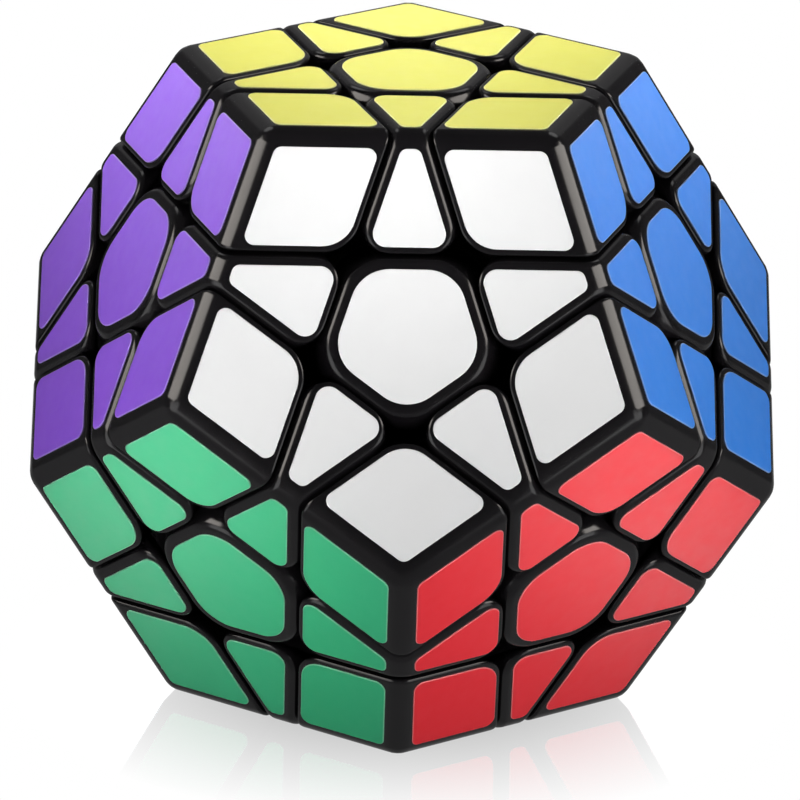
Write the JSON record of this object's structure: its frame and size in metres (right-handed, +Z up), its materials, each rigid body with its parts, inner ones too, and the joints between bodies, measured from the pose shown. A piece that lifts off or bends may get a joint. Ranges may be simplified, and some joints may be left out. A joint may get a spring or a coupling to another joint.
{
  "type": "dodecahedron twisty puzzle",
  "caption": "Dodecahedron twisty puzzle: coloured faces of a centre, edges and corners that turn round a spring-loaded core",
  "frame": {"origin": "middle of the core, where all the face axes meet", "axes": "+Z up through the yellow face, -Y towards the white face"},
  "size_m": [0.0958, 0.1004, 0.0828],
  "materials": {
    "yellow_vinyl": "satin vinyl film",
    "white_vinyl": "satin vinyl film",
    "blue_vinyl": "satin vinyl film",
    "lime_vinyl": "satin vinyl film",
    "orange_vinyl": "satin vinyl film",
    "purple_vinyl": "satin vinyl film",
    "green_vinyl": "satin vinyl film",
    "red_vinyl": "satin vinyl film",
    "pink_vinyl": "satin vinyl film",
    "grey_vinyl": "satin vinyl film",
    "sky_vinyl": "satin vinyl film",
    "cream_vinyl": "satin vinyl film",
    "black_plastic": "moulded satin-gloss ABS",
    "inner_plastic": "moulded matt",
    "steel": "bright zinc"
  },
  "bodies": {
    "core": {"centre_screws": "steel", "core": "inner_plastic", "fixed_blue_stickers": "blue_vinyl", "fixed_centre_caps": "black_plastic", "fixed_centre_hubs": "inner_plastic", "fixed_centre_springs": "steel", "fixed_corner_shells": "black_plastic", "fixed_cream_stickers": "cream_vinyl", "fixed_edge_shells": "black_plastic", "fixed_feet": "black_plastic", "fixed_grey_stickers": "grey_vinyl", "fixed_lime_stickers": "lime_vinyl", "fixed_orange_stickers": "orange_vinyl", "fixed_purple_stickers": "purple_vinyl", "fixed_red_stickers": "red_vinyl", "fixed_sky_stickers": "sky_vinyl", "fixed_white_stickers": "white_vinyl", "screw_washers": "steel"},
    "green_centre": {"green_layer_centre_cap": "black_plastic", "green_layer_centre_hub": "inner_plastic", "green_layer_centre_spring": "steel", "green_layer_centre_sticker": "green_vinyl"},
    "green_layer": {"green_layer_corner_shells": "black_plastic", "green_layer_cream_stickers": "cream_vinyl", "green_layer_edge_shells": "black_plastic", "green_layer_feet": "black_plastic", "green_layer_green_stickers": "green_vinyl", "green_layer_purple_stickers": "purple_vinyl", "green_layer_red_stickers": "red_vinyl", "green_layer_sky_stickers": "sky_vinyl", "green_layer_white_stickers": "white_vinyl"},
    "pink_layer": {"pink_layer_blue_stickers": "blue_vinyl", "pink_layer_corner_shells": "black_plastic", "pink_layer_cream_stickers": "cream_vinyl", "pink_layer_edge_shells": "black_plastic", "pink_layer_feet": "black_plastic", "pink_layer_grey_stickers": "grey_vinyl", "pink_layer_lime_stickers": "lime_vinyl", "pink_layer_pink_stickers": "pink_vinyl", "pink_layer_red_stickers": "red_vinyl"},
    "pink_centre": {"pink_layer_centre_cap": "black_plastic", "pink_layer_centre_hub": "inner_plastic", "pink_layer_centre_spring": "steel", "pink_layer_centre_sticker": "pink_vinyl"},
    "yellow_layer": {"yellow_layer_blue_stickers": "blue_vinyl", "yellow_layer_corner_shells": "black_plastic", "yellow_layer_edge_shells": "black_plastic", "yellow_layer_feet": "black_plastic", "yellow_layer_lime_stickers": "lime_vinyl", "yellow_layer_orange_stickers": "orange_vinyl", "yellow_layer_purple_stickers": "purple_vinyl", "yellow_layer_white_stickers": "white_vinyl", "yellow_layer_yellow_stickers": "yellow_vinyl"},
    "yellow_centre": {"yellow_layer_centre_cap": "black_plastic", "yellow_layer_centre_hub": "inner_plastic", "yellow_layer_centre_spring": "steel", "yellow_layer_centre_sticker": "yellow_vinyl"}
  },
  "joints": [
    {"name": "yellow_face_turn", "type": "hinge", "parent": "core", "child": "yellow_layer", "pos_m": [0, 0, 0], "axis": [0, 0, 1], "continuous": true},
    {"name": "yellow_centre_float", "type": "slide", "parent": "yellow_layer", "child": "yellow_centre", "axis": [0, 0, 1], "range_m": [0, 0.0004], "stiffness_N_per_m": 800, "springref_m": -0.003},
    {"name": "green_face_turn", "type": "hinge", "parent": "core", "child": "green_layer", "pos_m": [0, 0, 0], "axis": [-0.5257, -0.7236, -0.4472], "continuous": true},
    {"name": "green_centre_float", "type": "slide", "parent": "green_layer", "child": "green_centre", "axis": [-0.5257, -0.7236, -0.4472], "range_m": [0, 0.0004], "stiffness_N_per_m": 800, "springref_m": -0.003},
    {"name": "pink_face_turn", "type": "hinge", "parent": "core", "child": "pink_layer", "pos_m": [0, 0, 0], "axis": [0.8507, 0.2764, -0.4472], "continuous": true},
    {"name": "pink_centre_float", "type": "slide", "parent": "pink_layer", "child": "pink_centre", "axis": [0.8507, 0.2764, -0.4472], "range_m": [0, 0.0004], "stiffness_N_per_m": 800, "springref_m": -0.003}
  ]
}
